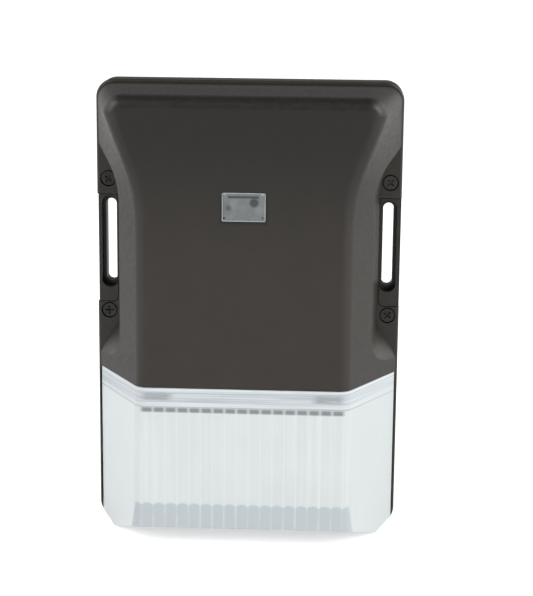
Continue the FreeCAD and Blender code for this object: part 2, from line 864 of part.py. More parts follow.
def reflector():
    half = opening_half - reflector_gap
    low = opening_low + reflector_gap
    top = opening_top - reflector_gap
    start = reflector_depth
    pan = rounded_block(-half, half, low, top, reflector_corner, start, reflector_rise)
    inner = half - reflector_wall
    hollow = rounded_block(-inner, inner, low + reflector_wall, top - reflector_wall,
                           reflector_corner - reflector_wall, start + reflector_wall,
                           reflector_rise)
    window = rounded_block(-reflector_window_half, reflector_window_half,
                           engine_z - reflector_window_reach, engine_z + reflector_window_reach,
                           reflector_window_corner, start - 1, reflector_wall + 2)
    holes = [rod(x, z, board_screw_radius + hole_clearance, start - 1, reflector_wall + 2)
             for x, z in reflector_spots()]
    return pan.cut([hollow, window] + holes)


# ---- driver ----
def driver_case():
    low = driver_x - driver_length / 2
    high = driver_x + driver_length / 2
    bottom = driver_low
    top = driver_z + driver_height / 2
    case = rounded_block(low, high, bottom, top, driver_corner, driver_base, driver_thickness)
    hollow = rounded_block(low + driver_wall, high - driver_wall, bottom + driver_wall,
                           top - driver_wall, driver_corner - driver_wall,
                           driver_base + driver_wall, driver_thickness)
    lugs = block(low - lug_length, high + lug_length, driver_z - lug_height / 2,
                 driver_z + lug_height / 2, driver_base, lug_thickness)
    holes = [rod(x, z, driver_screw_radius + hole_clearance, driver_base - 1, lug_thickness + 2)
             for x, z in driver_screw_spots()]
    return joined([case, lugs]).cut([hollow] + holes)


def driver_potting():
    low = driver_x - driver_length / 2 + driver_wall
    high = driver_x + driver_length / 2 - driver_wall
    bottom = driver_low + driver_wall
    top = driver_z + driver_height / 2 - driver_wall
    start = driver_base + driver_wall
    return rounded_block(low, high, bottom, top, driver_corner - driver_wall, start,
                         driver_thickness - driver_wall - potting_drop)


# ---- photocell ----
def cell_front():
    """Depth of the sensor's face, just behind the window's lip."""
    return panel_depth - cover_wall - window_lip_thickness - cell_to_window


def bracket_tab_front():
    return cell_front() - cell_height - cell_board_thickness


def photocell_bracket():
    start = bracket_base
    front = bracket_tab_front()
    low = window_z - bracket_drop
    high = window_z + bracket_rise
    foot = block(-bracket_half, bracket_half, low, high, start, bracket_thickness)
    riser = block(-bracket_half, bracket_half, high - bracket_thickness, high, start, front - start)
    tab = block(-bracket_half, bracket_half, low, high, front - bracket_thickness,
                bracket_thickness)
    hole = rod(0, window_z, driver_screw_radius + hole_clearance, start - 1, bracket_thickness + 2)
    return joined([foot, riser, tab]).cut(hole)


def photocell_board():
    tall = cell_board_height / 2
    return block(-cell_board_half, cell_board_half, window_z - tall, window_z + tall,
                 bracket_tab_front(), cell_board_thickness)


def photocell_sensor():
    start = bracket_tab_front() + cell_board_thickness
    return rod(cell_x, window_z + cell_rise, cell_radius, start, cell_height)


# ---- leads ----
def wire_path(points):
    """The points as places, with each bend broken into short runs."""
    places = [vec(x, -depth, z) for x, z, depth in points]
    path = [places[0]]
    for before, here, after in zip(places, places[1:], places[2:]):
        cut = bend_share * min((before - here).Length, (after - here).Length)
        enter = here + (before - here).normalize() * cut
        leave = here + (after - here).normalize() * cut
        for step in range(bend_steps + 1):
            t = step / bend_steps
            path.append(enter * (1 - t) ** 2 + here * (2 * t * (1 - t)) + leave * t ** 2)
    return path + [places[-1]]


def stacked(rings):
    """The flat-sided solid through rings of points, one after the other."""
    faces = [Part.Face(Part.makePolygon(ring + ring[:1])) for ring in (rings[0], rings[-1])]
    for near, far in zip(rings, rings[1:]):
        for i in range(len(near)):
            faces.append(Part.Face(Part.makePolygon([near[i - 1], near[i], far[i], far[i - 1],
                                                     near[i - 1]])))
    return closed_solid(faces)


def ring_points(middle, across, up, radius, sides):
    turns = [2 * math.pi * i / sides for i in range(sides)]
    return [middle + across * (radius * math.cos(t)) + up * (radius * math.sin(t)) for t in turns]


def lead(points, radius):
    """A wire with flat sides, mitred at each turn. Points are (x, z, depth)."""
    path = wire_path(points)
    runs = [(end - start).normalize() for start, end in zip(path, path[1:])]
    across = runs[0].cross(vec(1, 0, 0)).normalize()
    rings = [ring_points(path[0], across, runs[0].cross(across), radius, lead_sides)]
    for here, run, following in zip(path[1:], runs, runs[1:] + runs[-1:]):
        mitre = (run + following).normalize()
        rings.append([p + run * ((here - p).dot(mitre) / run.dot(mitre)) for p in rings[-1]])
    return stacked(rings)


def nut_spot(index):
    return (index - 1) * nut_spacing


def supply_lead(index, exit_x):
    """From the driver's lower side to the top of a wire connector."""
    x = nut_spot(index)
    top = nut_z + nut_length
    return lead([(exit_x, driver_low, lead_exit_depth),
                 (exit_x, driver_low - lead_straight, lead_exit_depth),
                 (x, top + lead_straight, nut_depth), (x, top, nut_depth)], lead_radius)


def earth_lead():
    top = nut_z + nut_length
    x = nut_spot(0) - nut_spacing
    start = housing_floor + earth_boss_height + lead_radius + 1.2
    return lead([(earth_x, earth_z + driver_screw_head, start), (earth_x, top - 1, start),
                 (earth_x + 2, top + 6, start + 3), (x, top + 8, nut_depth), (x, top, nut_depth)],
                lead_radius)


def led_leads():
    end = engine_z + board_reach - led_lead_end
    front = board_front + lead_radius
    made = []
    for side in (-0.5, 0.5):
        x = led_lead_x + side * led_lead_spacing
        made.append(lead([(x, driver_low, lead_exit_depth), (x, driver_low - 8, lead_exit_depth),
                          (x, driver_low - 22, led_lead_depth), (x, end + 11, led_lead_depth),
                          (x, end + 5, front), (x, end, front)], lead_radius))
    return Part.makeCompound(made)


def photocell_leads():
    depth = bracket_tab_front() + cell_board_thickness / 2
    top = window_z + cell_board_height / 2
    face = driver_base + driver_thickness - potting_drop
    made = []
    for x in (-3.2, -1.2):
        made.append(lead([(x, top, depth), (x, top + 8, depth), (x, top + 15, face + 8),
                          (x, top + 15, face)], thin_lead_radius))
    return Part.makeCompound(made)


def wire_nut(x):
    """A tapering twist-on connector, open below."""
    across = vec(1, 0, 0)
    up = vec(0, 1, 0)
    low = vec(x, -nut_depth, nut_z)
    outside = stacked([ring_points(low, across, up, nut_radius, nut_sides),
                       ring_points(low + vec(0, 0, nut_length), across, up, nut_tip_radius,
                                   nut_sides)])
    bore = nut_radius - nut_wall
    end = low + vec(0, 0, nut_bore_length)
    inside = stacked([ring_points(low - vec(0, 0, 1), across, up, bore, nut_sides),
                      ring_points(end, across, up, bore - nut_wall / 2, nut_sides)])
    return outside.cut(inside)


def wire_nuts():
    spots = [nut_spot(0) - nut_spacing, nut_spot(0), nut_spot(2)]
    return Part.makeCompound([wire_nut(x) for x in spots])


def main():
    save("back_housing", back_housing())
    save("cover_gasket", cover_gasket())
    save("wall_gasket", wall_gasket_ring(0.1))
    save("front_cover", front_cover())
    save("lens", lens())
    save("lens_seal", lens_seal())
    save("photocell_window", photocell_window())
    save("cover_screws", cover_screws())
    save("thermal_pad", thermal_pad())
    save("led_board", led_board())
    save("led_chips", led_chips())
    save("led_board_screws", board_screws(board_screw_spots(), board_front))
    save("reflector", reflector())
    save("reflector_screws", board_screws(reflector_spots(), reflector_depth + reflector_wall))
    save("driver_case", driver_case())
    save("driver_potting", driver_potting())
    save("driver_screws", driver_screws(driver_screw_spots(), driver_base + lug_thickness,
                                        driver_screw_length))
    save("photocell_bracket", photocell_bracket())
    save("bracket_screw", driver_screws([(0, window_z)], bracket_base + bracket_thickness,
                                        short_screw_length))
    save("photocell_board", photocell_board())
    save("photocell_sensor", photocell_sensor())
    save("photocell_leads", photocell_leads())
    save("line_lead", supply_lead(0, line_exit))
    save("neutral_lead", supply_lead(2, neutral_exit))
    save("earth_lead", earth_lead())
    save("led_leads", led_leads())
    save("wire_nuts", wire_nuts())
    save("earth_screw", driver_screws([(earth_x, earth_z)], housing_floor + earth_boss_height,
                                      short_screw_length))


main()
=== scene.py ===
import math
import bmesh
import bpy
from mathutils import Matrix, Vector


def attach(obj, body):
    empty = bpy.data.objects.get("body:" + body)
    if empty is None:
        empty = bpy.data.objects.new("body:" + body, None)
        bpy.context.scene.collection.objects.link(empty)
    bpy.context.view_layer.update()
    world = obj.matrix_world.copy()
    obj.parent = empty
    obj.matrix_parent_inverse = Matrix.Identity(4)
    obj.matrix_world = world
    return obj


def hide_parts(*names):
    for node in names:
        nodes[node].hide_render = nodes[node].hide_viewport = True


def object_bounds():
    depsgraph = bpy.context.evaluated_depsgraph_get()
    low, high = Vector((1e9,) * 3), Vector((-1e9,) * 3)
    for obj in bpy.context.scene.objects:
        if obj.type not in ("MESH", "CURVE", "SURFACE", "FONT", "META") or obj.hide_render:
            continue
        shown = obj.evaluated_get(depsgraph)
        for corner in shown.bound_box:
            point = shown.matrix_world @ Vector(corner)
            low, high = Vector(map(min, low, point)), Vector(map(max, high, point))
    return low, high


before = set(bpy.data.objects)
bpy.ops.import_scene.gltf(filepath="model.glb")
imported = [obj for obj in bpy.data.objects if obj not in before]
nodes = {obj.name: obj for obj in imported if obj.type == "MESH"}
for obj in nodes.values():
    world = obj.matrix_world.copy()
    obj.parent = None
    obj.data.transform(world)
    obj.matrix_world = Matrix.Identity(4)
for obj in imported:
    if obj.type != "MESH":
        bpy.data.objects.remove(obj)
cadLow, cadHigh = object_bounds()
mm = 0.001
noiseRange = (0.3, 0.7)  # most of what a noise node gives lies between these
print("frame loaded:", len(nodes), "CAD nodes")


# node helpers
def addNode(tree, kind, **settings):
    node = tree.nodes.new(kind)
    for name, value in settings.items():
        setattr(node, name, value)
    return node


def feed(tree, socket, value):  # a number, a colour or another node's output
    if isinstance(value, bpy.types.NodeSocket):
        tree.links.new(value, socket)
    else:
        socket.default_value = value


def calc(tree, operation, *values):
    node = addNode(tree, "ShaderNodeMath", operation=operation)
    for socket, value in zip(node.inputs, values):
        feed(tree, socket, value)
    return node.outputs[0]


def remap(tree, value, low, high, toLow=0.0, toHigh=1.0):  # smooth step from low to high
    node = addNode(tree, "ShaderNodeMapRange", interpolation_type="SMOOTHSTEP")
    for name, number in (("Value", value), ("From Min", low), ("From Max", high),
                         ("To Min", toLow), ("To Max", toHigh)):
        feed(tree, node.inputs[name], number)
    return node.outputs[0]


def stripe(tree, value, centre, half, soft):  # 1 within half of centre, 0 past half + soft
    away = calc(tree, "ABSOLUTE", calc(tree, "SUBTRACT", value, centre))
    return remap(tree, away, half, half + soft, 1.0, 0.0)


def mixColour(tree, factor, first, second):
    node = addNode(tree, "ShaderNodeMix", data_type="RGBA")
    feed(tree, node.inputs["Factor"], factor)
    feed(tree, node.inputs[6], first)
    feed(tree, node.inputs[7], second)
    return node.outputs[2]


def millimetres(tree, place):  # x, y and z of the place, in millimetres
    scaled = addNode(tree, "ShaderNodeVectorMath", operation="SCALE")
    feed(tree, scaled.inputs[0], place)
    scaled.inputs["Scale"].default_value = 1000.0
    split = addNode(tree, "ShaderNodeSeparateXYZ")
    feed(tree, split.inputs[0], scaled.outputs[0])
    return split.outputs


def spot(tree, across, up, centre, radius, soft):  # 1 within radius of centre, in millimetres
    aside = calc(tree, "SUBTRACT", across, centre[0])
    above = calc(tree, "SUBTRACT", up, centre[1])
    away = calc(tree, "SQRT", calc(tree, "ADD", calc(tree, "MULTIPLY", aside, aside),
                                   calc(tree, "MULTIPLY", above, above)))
    return remap(tree, away, radius, radius + soft, 1.0, 0.0)


def block(tree, across, up, centre, half, soft):  # 1 within a rectangle of that half size
    return calc(tree, "MULTIPLY", stripe(tree, across, centre[0], half[0], soft),
                stripe(tree, up, centre[1], half[1], soft))


def streaks(tree, across, up, acrossScale, upScale, detail=3.0):  # noise drawn out along one way
    stretched = addNode(tree, "ShaderNodeCombineXYZ")
    feed(tree, stretched.inputs[0], calc(tree, "MULTIPLY", across, acrossScale))
    feed(tree, stretched.inputs[2], calc(tree, "MULTIPLY", up, upScale))
    return noise(tree, stretched.outputs[0], 1.0, detail)


def noise(tree, vector, scale, detail=2.0, roughness=0.5):
    node = addNode(tree, "ShaderNodeTexNoise")
    feed(tree, node.inputs["Vector"], vector)
    feed(tree, node.inputs["Scale"], scale)
    node.inputs["Detail"].default_value = detail
    node.inputs["Roughness"].default_value = roughness
    return node.outputs["Fac"]


def rgb(red, green, blue):  # 0 to 255, as the eye sees it, to the linear values of a shader
    def linear(level):
        level /= 255
        return level / 12.92 if level <= 0.04045 else ((level + 0.055) / 1.055) ** 2.4
    return (linear(red), linear(green), linear(blue), 1.0)


# effects that several materials share
def newGroup(name, inputs, outputs):
    tree = bpy.data.node_groups.new(name, "ShaderNodeTree")
    for label, kind, value in inputs:
        socket = tree.interface.new_socket(label, in_out="INPUT", socket_type=kind)
        if value is not None:
            socket.default_value = value
    for label, kind in outputs:
        tree.interface.new_socket(label, in_out="OUTPUT", socket_type=kind)
    return tree, tree.nodes.new("NodeGroupInput").outputs, tree.nodes.new("NodeGroupOutput").inputs


def buildPebble():  # fine pebbled height, as powder coat and moulded grain have
    tree, given, result = newGroup(
        "pebble",
        [("Vector", "NodeSocketVector", None), ("Scale", "NodeSocketFloat", 1500.0)],
        [("Height", "NodeSocketFloat"), ("Mottle", "NodeSocketFloat")])
    fine = noise(tree, given["Vector"], given["Scale"], 1.0)
    coarse = noise(tree, given["Vector"], calc(tree, "MULTIPLY", given["Scale"], 0.3), 2.0)
    feed(tree, result["Height"], calc(tree, "ADD", fine, calc(tree, "MULTIPLY", coarse, 0.8)))
    feed(tree, result["Mottle"], coarse)
    return tree


def buildPatches():  # slow change between two colours
    tree, given, result = newGroup(
        "patches",
        [("Vector", "NodeSocketVector", None), ("Scale", "NodeSocketFloat", 30.0),
         ("Dark", "NodeSocketColor", (0.1, 0.1, 0.1, 1)), ("Light", "NodeSocketColor", (0.2, 0.2, 0.2, 1))],
        [("Color", "NodeSocketColor"), ("Amount", "NodeSocketFloat")])
    amount = remap(tree, noise(tree, given["Vector"], given["Scale"], 3.0, 0.6), *noiseRange)
    feed(tree, result["Color"], mixColour(tree, amount, given["Dark"], given["Light"]))
    feed(tree, result["Amount"], amount)
    return tree


groups = {"pebble": buildPebble(), "patches": buildPatches()}


def placeGroup(tree, name, **values):
    node = addNode(tree, "ShaderNodeGroup", node_tree=groups[name])
    for label, value in values.items():
        feed(tree, node.inputs[label], value)
    return node.outputs


def newMaterial(name):
    material = bpy.data.materials.new(name)
    material.use_nodes = True
    tree = material.node_tree
    tree.nodes.clear()
    shader = addNode(tree, "ShaderNodeBsdfPrincipled")
    output = addNode(tree, "ShaderNodeOutputMaterial")
    tree.links.new(shader.outputs[0], output.inputs[0])
    place = addNode(tree, "ShaderNodeTexCoord").outputs["Object"]
    return material, tree, shader.inputs, place


def addBump(tree, shader, height, strength, distance):
    bump = addNode(tree, "ShaderNodeBump")
    bump.inputs["Strength"].default_value = strength
    bump.inputs["Distance"].default_value = distance
    feed(tree, bump.inputs["Height"], height)
    feed(tree, shader["Normal"], bump.outputs[0])


# every plain finish: two close colours, a roughness range, a grain and its depth
def plainFinish(name, dark, light, rough=(0.4, 0.5), metallic=0.0, grain=1500.0, depth=0.02 * mm,
                patchScale=60.0, paint=None):
    material, tree, shader, place = newMaterial(name)
    patches = placeGroup(tree, "patches", Vector=place, Scale=patchScale, Dark=dark, Light=light)
    pebble = placeGroup(tree, "pebble", Vector=place, Scale=grain)
    colour = patches["Color"]
    if paint:
        colour = paint(tree, place, colour)
    feed(tree, shader["Base Color"], colour)
    feed(tree, shader["Roughness"], remap(tree, pebble["Mottle"], *noiseRange, *rough))
    shader["Metallic"].default_value = metallic
    addBump(tree, shader, pebble["Height"], 0.5, depth)
    return material


# the bronze coat carries painted shade: a dark rim in the gap round the sensor window's edge, and darker
# towards the hood's top; places in millimetres
coat = {"dark": rgb(35, 30, 22), "light": rgb(38, 32, 26), "rough": (0.4, 0.48), "grain": 1700.0,
        "depth": 0.03 * mm}
coatGapShade = {"centre": (0.0, 49.7), "half": (9.7, 6.6), "soft": 0.8, "behind": -44.0, "ahead": -46.0,
           "colour": rgb(12, 11, 11)}
coatTopShade = {"from": 20.0, "to": 85.0, "centre": (0.0, -48.0), "half": (50.0, 20.0), "soft": 8.0,
           "colour": rgb(16, 10, 5)}


def paintCoat(tree, place, colour):
    x, y, z = millimetres(tree, place)
    # painted shade: the coat darkens towards the hood's top, standing in for the dimmer light there
    high = calc(tree, "MULTIPLY", remap(tree, z, coatTopShade["from"], coatTopShade["to"]),
                block(tree, x, y, coatTopShade["centre"], coatTopShade["half"], coatTopShade["soft"]))
    colour = mixColour(tree, high, colour, coatTopShade["colour"])
    # painted shade: a near-black rim on the coat round the sensor window's edge, where the narrow gap at the
    # pane's seat lies in shade; front only
    gapShade = calc(tree, "MULTIPLY", block(tree, x, z, coatGapShade["centre"], coatGapShade["half"], coatGapShade["soft"]),
               remap(tree, y, coatGapShade["behind"], coatGapShade["ahead"]))
    return mixColour(tree, gapShade, colour, coatGapShade["colour"])


plainSteel = dict(dark=rgb(150, 150, 148), light=rgb(180, 180, 178), rough=(0.25, 0.4), metallic=0.9)
simpleFinishes = {
    "cover_gasket": dict(dark=rgb(22, 22, 22), light=rgb(30, 30, 30), rough=(0.6, 0.75)),
    "wall_gasket": dict(dark=rgb(24, 24, 25), light=rgb(38, 38, 40), rough=(0.8, 0.95), grain=900.0,
                        depth=0.15 * mm),
    "cover_screws": dict(dark=rgb(44, 43, 42), light=rgb(58, 56, 54), rough=(0.3, 0.42), metallic=0.6),
    "lens_seal": dict(dark=rgb(40, 40, 40), light=rgb(52, 52, 52), rough=(0.6, 0.7)),
    "thermal_pad": dict(dark=rgb(150, 158, 168), light=rgb(170, 178, 186), rough=(0.6, 0.75)),
    "led_board": dict(dark=rgb(222, 224, 220), light=rgb(234, 235, 232), rough=(0.3, 0.4)),
    "led_board_screws": plainSteel,
    "reflector": dict(dark=rgb(228, 229, 228), light=rgb(238, 239, 238), rough=(0.3, 0.4)),
    "reflector_screws": plainSteel,
    "driver_case": dict(dark=rgb(26, 26, 27), light=rgb(34, 34, 35), rough=(0.4, 0.55), grain=2200.0),
    "driver_potting": dict(dark=rgb(54, 54, 56), light=rgb(70, 70, 72), rough=(0.25, 0.5), patchScale=140.0),
    "driver_screws": plainSteel,
    "photocell_bracket": dict(dark=rgb(158, 156, 150), light=rgb(184, 182, 176), rough=(0.25, 0.4),
                              metallic=0.95),
    "bracket_screw": plainSteel,
    "photocell_board": dict(dark=rgb(196, 200, 200), light=rgb(214, 217, 217), rough=(0.35, 0.5)),
    "photocell_sensor": dict(dark=rgb(34, 36, 40), light=rgb(48, 50, 54), rough=(0.15, 0.25)),
    "wire_nuts": dict(dark=rgb(150, 60, 34), light=rgb(168, 74, 44), rough=(0.4, 0.5), grain=1200.0),
    "earth_screw": dict(dark=rgb(84, 140, 92), light=rgb(104, 160, 110), rough=(0.25, 0.4), metallic=0.8),
}

# the lens: milky body, smooth band above, a row of painted shadow dashes, a scalloped zone of painted shade
# below, side faces with painted light and shade; places in millimetres
lensLook = {
    "body": rgb(218, 223, 222), "shade": rgb(213, 218, 218), "gleam": rgb(229, 233, 233),
    "mottle": 24.0, "mottleDetail": 3.0, "mottleRange": (0.35, 0.65),
    "streaks": (0.5, 0.012), "streakRange": (0.45, 0.75), "streakShare": 0.55,
    "streakFrom": 12.0, "streakTo": 26.0, "streakLeast": 0.25,
    "leftSidePaintedLight": rgb(219, 225, 225), "rightSidePaintedShade": rgb(206, 212, 212), "sideFrom": 45.0, "sideTo": 47.5,
    "sideTurn": 1.0,
    "flutePitch": 5.1, "fluteHalf": 43.4, "fluteSoft": 0.5, "ridgeFrom": 0.36, "ridgeTo": 0.5,
    "ridgeShare": 0.35, "ridgeBump": 0.3, "ridgeDepth": 0.08 * mm, "frontFrom": -45.0, "frontTo": -46.5,
    "transmission": 0.12, "roughness": 0.28, "ior": 1.49,
}
lensBand = {
    "top": -28.0, "low": -36.2, "soft": 0.3, "dull": rgb(183, 190, 195), "bright": rgb(210, 216, 219),
    "lines": (0.02, 1.3), "lineRange": (0.38, 0.62),
    "gleams": ((-28.9, 0.3, 0.5), (-35.2, 0.5, 0.45)), "gleamSoft": 0.6,  # height, half, share
    "patch": rgb(162, 166, 170), "patchCentre": (36.5, -31.9), "patchHalf": (3.5, 0.9),
    "patchSoft": (5.0, 1.6), "patchLines": (0.12, 1.9), "patchRange": (0.3, 0.5, 0.3, 1.0),
    "edge": -36.45, "edgeHalf": 0.1, "edgeSoft": 0.3, "edgeShare": 0.6,
}
# painted shadow: the dark dashes below the band
lensDashShadows = {"colour": rgb(134, 140, 142), "top": -36.7, "low": -38.8, "inset": 0.5, "soft": 0.9,
              "from": 1.3, "to": 2.7, "between": 0.4}
lensLowShadeZone = {"colour": rgb(190, 197, 201), "shade": rgb(187, 198, 201), "line": rgb(211, 217, 219),
               "top": -79.0, "from": -80.0, "to": -78.8, "shadeFrom": -84.0, "shadeTo": -80.5,
               "half": 46.0, "soft": 0.3, "spread": 0.16, "scallop": 1.0,
               "lines": (0.35, 0.1), "lineRange": (0.35, 0.65, 0.15, 0.85)}


def paintLensBody(tree, place, x, z, aside, ridge):
    look = lensLook
    mottle = remap(tree, noise(tree, place, look["mottle"], look["mottleDetail"]), *look["mottleRange"])
    colour = mixColour(tree, mottle, look["shade"], look["body"])
    drawn = streaks(tree, x, z, *look["streaks"])
    shine = calc(tree, "MULTIPLY", remap(tree, drawn, *look["streakRange"], 0.0, look["streakShare"]),
                 remap(tree, aside, look["streakFrom"], look["streakTo"], look["streakLeast"], 1.0))
    colour = mixColour(tree, shine, colour, look["gleam"])
    colour = mixColour(tree, calc(tree, "MULTIPLY", ridge, look["ridgeShare"]), colour, look["gleam"])
    # painted light and shade: the side faces are painted lighter on the left and darker on the right, against
    # the stronger light from the right
    side = mixColour(tree, remap(tree, x, -look["sideTurn"], look["sideTurn"]),
                     look["leftSidePaintedLight"], look["rightSidePaintedShade"])
    return mixColour(tree, remap(tree, aside, look["sideFrom"], look["sideTo"]), colour, side)


def paintLensBand(tree, x, z, aside, colour):
    band = lensBand
    middle, half = (band["top"] + band["low"]) / 2, (band["top"] - band["low"]) / 2
    lines = remap(tree, streaks(tree, x, z, *band["lines"]), *band["lineRange"])
    banded = mixColour(tree, lines, band["dull"], band["bright"])
    patch = calc(tree, "MULTIPLY",
                 stripe(tree, aside, band["patchCentre"][0], band["patchHalf"][0], band["patchSoft"][0]),
                 stripe(tree, z, band["patchCentre"][1], band["patchHalf"][1], band["patchSoft"][1]))
    uneven = remap(tree, streaks(tree, x, z, *band["patchLines"]), *band["patchRange"])
    patch = calc(tree, "MULTIPLY", patch, uneven)
    banded = mixColour(tree, patch, banded, band["patch"])
    for height, thick, share in band["gleams"]:
        gleam = calc(tree, "MULTIPLY", stripe(tree, z, height, thick, band["gleamSoft"]), share)
        banded = mixColour(tree, gleam, banded, lensLook["gleam"])
    colour = mixColour(tree, stripe(tree, z, middle, half, band["soft"]), colour, banded)
    edge = calc(tree, "MULTIPLY", stripe(tree, z, band["edge"], band["edgeHalf"], band["edgeSoft"]),
                band["edgeShare"])
    return mixColour(tree, edge, colour, band["patch"])


def paintLensDashShadows(tree, z, fromCentre, front, colour):  # painted shadow: one dark dash at the top of each flute, the shade of the flute's top seen through the plastic
    dashes = lensDashShadows
    middle, half = (dashes["top"] + dashes["low"]) / 2, (dashes["top"] - dashes["low"]) / 2
    dashShadow = calc(tree, "MULTIPLY", stripe(tree, z, middle, half - dashes["inset"], dashes["soft"]),
                remap(tree, fromCentre, dashes["from"], dashes["to"], 1.0, dashes["between"]))
    return mixColour(tree, calc(tree, "MULTIPLY", dashShadow, front), colour, dashes["colour"])


# painted shade: a greyer zone low on the front, where the lens's bottom wall and the dark parts behind it
# show through, with a scalloped top edge and lighter lines on the flute ridges
def paintLensLowShadeZone(tree, x, z, aside, fromCentre, ridge, colour):
    zone = lensLowShadeZone
    share = calc(tree, "DIVIDE", fromCentre, lensLook["flutePitch"] / 2)
    bulge = calc(tree, "MULTIPLY", calc(tree, "POWER", share, 2.0), zone["scallop"])
    below = remap(tree, calc(tree, "ADD", z, bulge), zone["from"], zone["to"], 1.0, 0.0)
    spread = calc(tree, "MULTIPLY", calc(tree, "ADD", z, -zone["top"]), zone["spread"])
    within = remap(tree, calc(tree, "ADD", aside, spread), zone["half"] - zone["soft"],
                   zone["half"] + zone["soft"], 1.0, 0.0)
    shaded = remap(tree, z, zone["shadeFrom"], zone["shadeTo"])
    shaded = mixColour(tree, shaded, zone["colour"], zone["shade"])
    uneven = remap(tree, streaks(tree, x, z, *zone["lines"]), *zone["lineRange"])
    shaded = mixColour(tree, calc(tree, "MULTIPLY", ridge, uneven), shaded, zone["line"])
    return mixColour(tree, calc(tree, "MULTIPLY", below, within), colour, shaded)


def lensMaterial():
    look = lensLook
    material, tree, shader, place = newMaterial("flutedLens")
    x, y, z = millimetres(tree, place)
    aside = calc(tree, "ABSOLUTE", x)
    pitch = look["flutePitch"]
    inFlute = calc(tree, "FLOORED_MODULO", calc(tree, "ADD", x, pitch / 2), pitch)
    fromCentre = calc(tree, "ABSOLUTE", calc(tree, "SUBTRACT", inFlute, pitch / 2))
    flutedTo = look["fluteHalf"] + look["fluteSoft"]
    front = calc(tree, "MULTIPLY", remap(tree, aside, look["fluteHalf"], flutedTo, 1.0, 0.0),
                 remap(tree, y, look["frontFrom"], look["frontTo"]))
    ridge = calc(tree, "MULTIPLY",
                 remap(tree, fromCentre, pitch * look["ridgeFrom"], pitch * look["ridgeTo"]), front)
    colour = paintLensBody(tree, place, x, z, aside, ridge)
    colour = paintLensBand(tree, x, z, aside, colour)
    colour = paintLensDashShadows(tree, z, fromCentre, front, colour)
    colour = paintLensLowShadeZone(tree, x, z, aside, fromCentre, ridge, colour)
    feed(tree, shader["Base Color"], colour)
    shader["Roughness"].default_value = look["roughness"]
    shader["Transmission Weight"].default_value = look["transmission"]
    shader["IOR"].default_value = look["ior"]
    addBump(tree, shader, ridge, look["ridgeBump"], look["ridgeDepth"])
    return material


# the pane, with what shows dimly through it; places are across and up, in millimetres
windowLook = {
    "dark": rgb(108, 113, 114), "light": rgb(126, 131, 131), "patchScale": 150.0,
    "transmission": 0.15, "roughness": 0.2, "ior": 1.49, "bump": 0.2, "bumpDepth": 0.05 * mm,
    "shadow": rgb(62, 66, 68), "bar": (-0.2, 54.2), "barHalf": (6.3, 0.3), "barSoft": 0.35,
    "hole": rgb(24, 25, 26), "pinHoles": ((-8.2, 45.4, 0.35), (7.9, 45.6, 0.25)), "holeSoft": 0.25,
    "smudge": rgb(84, 88, 90), "smudgeCentre": (-6.4, 49.6), "smudgeRadius": 0.5,
    "sensor": (4.3, 51.9), "sensorRadius": 1.2, "blur": 1.3,
}


def windowMaterial():
    look = windowLook
    material, tree, shader, place = newMaterial("windowPlastic")
    x, y, z = millimetres(tree, place)
    patches = placeGroup(tree, "patches", Vector=place, Scale=look["patchScale"], Dark=look["dark"],
                         Light=look["light"])
    bar = block(tree, x, z, look["bar"], look["barHalf"], look["barSoft"])
    colour = mixColour(tree, bar, patches["Color"], look["shadow"])
    sensor = spot(tree, x, z, look["sensor"], look["sensorRadius"], look["blur"])
    colour = mixColour(tree, sensor, colour, look["shadow"])
    smudge = spot(tree, x, z, look["smudgeCentre"], look["smudgeRadius"], look["blur"])
    colour = mixColour(tree, smudge, colour, look["smudge"])
    for across, up, radius in look["pinHoles"]:
        pinHole = spot(tree, x, z, (across, up), radius, look["holeSoft"])
        colour = mixColour(tree, pinHole, colour, look["hole"])
    feed(tree, shader["Base Color"], colour)
    shader["Roughness"].default_value = look["roughness"]
    shader["Transmission Weight"].default_value = look["transmission"]
    shader["IOR"].default_value = look["ior"]
    addBump(tree, shader, patches["Amount"], look["bump"], look["bumpDepth"])
    return material


# square white bodies, each with a round of phosphor
chipLook = {"body": rgb(238, 239, 234), "phosphor": rgb(240, 208, 88), "radius": 1.25, "soft": 0.15,
            "acrossPitch": 9.0, "upPitch": 12.0, "middle": -59.5, "rough": (0.35, 0.6)}


def chipMaterial():
    look = chipLook
    material, tree, shader, place = newMaterial("ledChipFinish")
    x, y, z = millimetres(tree, place)
    across = calc(tree, "FLOORED_MODULO", x, look["acrossPitch"])
    raised = calc(tree, "ADD", z, look["upPitch"] / 2 - look["middle"])
    up = calc(tree, "FLOORED_MODULO", raised, look["upPitch"])
    centre = (look["acrossPitch"] / 2, look["upPitch"] / 2)
    phosphor = spot(tree, across, up, centre, look["radius"], look["soft"])
    feed(tree, shader["Base Color"], mixColour(tree, phosphor, look["body"], look["phosphor"]))
    feed(tree, shader["Roughness"], remap(tree, phosphor, 0.0, 1.0, *look["rough"]))
    return material


def dress(node, material):
    slots = nodes[node].data.materials
    slots.clear()
    slots.append(material)


def dressNodes(lensPlastic):
    coatMaterial = plainFinish("bronzeCoat", paint=paintCoat, **coat)
    for node in ("back_housing", "front_cover"):
        dress(node, coatMaterial)
    dress("lens", lensPlastic)
    dress("photocell_window", windowMaterial())
    dress("led_chips", chipMaterial())
    for node, finish in simpleFinishes.items():
        dress(node, plainFinish(node + "Finish", **finish))
    print("materials:", len(bpy.data.materials))


def addPiece(name, data, body, slot, material, *replaced):
    piece = bpy.data.objects.new(name, data)
    bpy.context.scene.collection.objects.link(piece)
    data.materials.append(material)
    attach(piece, body)
    if replaced:
        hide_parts(*replaced)
    return piece


def toMesh(shape, name):
    mesh = bpy.data.meshes.new(name)
    shape.to_mesh(mesh)
    shape.free()
    return mesh


def closedMesh(shape, name):
    bmesh.ops.remove_doubles(shape, verts=shape.verts, dist=1e-7)
    bmesh.ops.recalc_face_normals(shape, faces=shape.faces)
    return toMesh(shape, name)


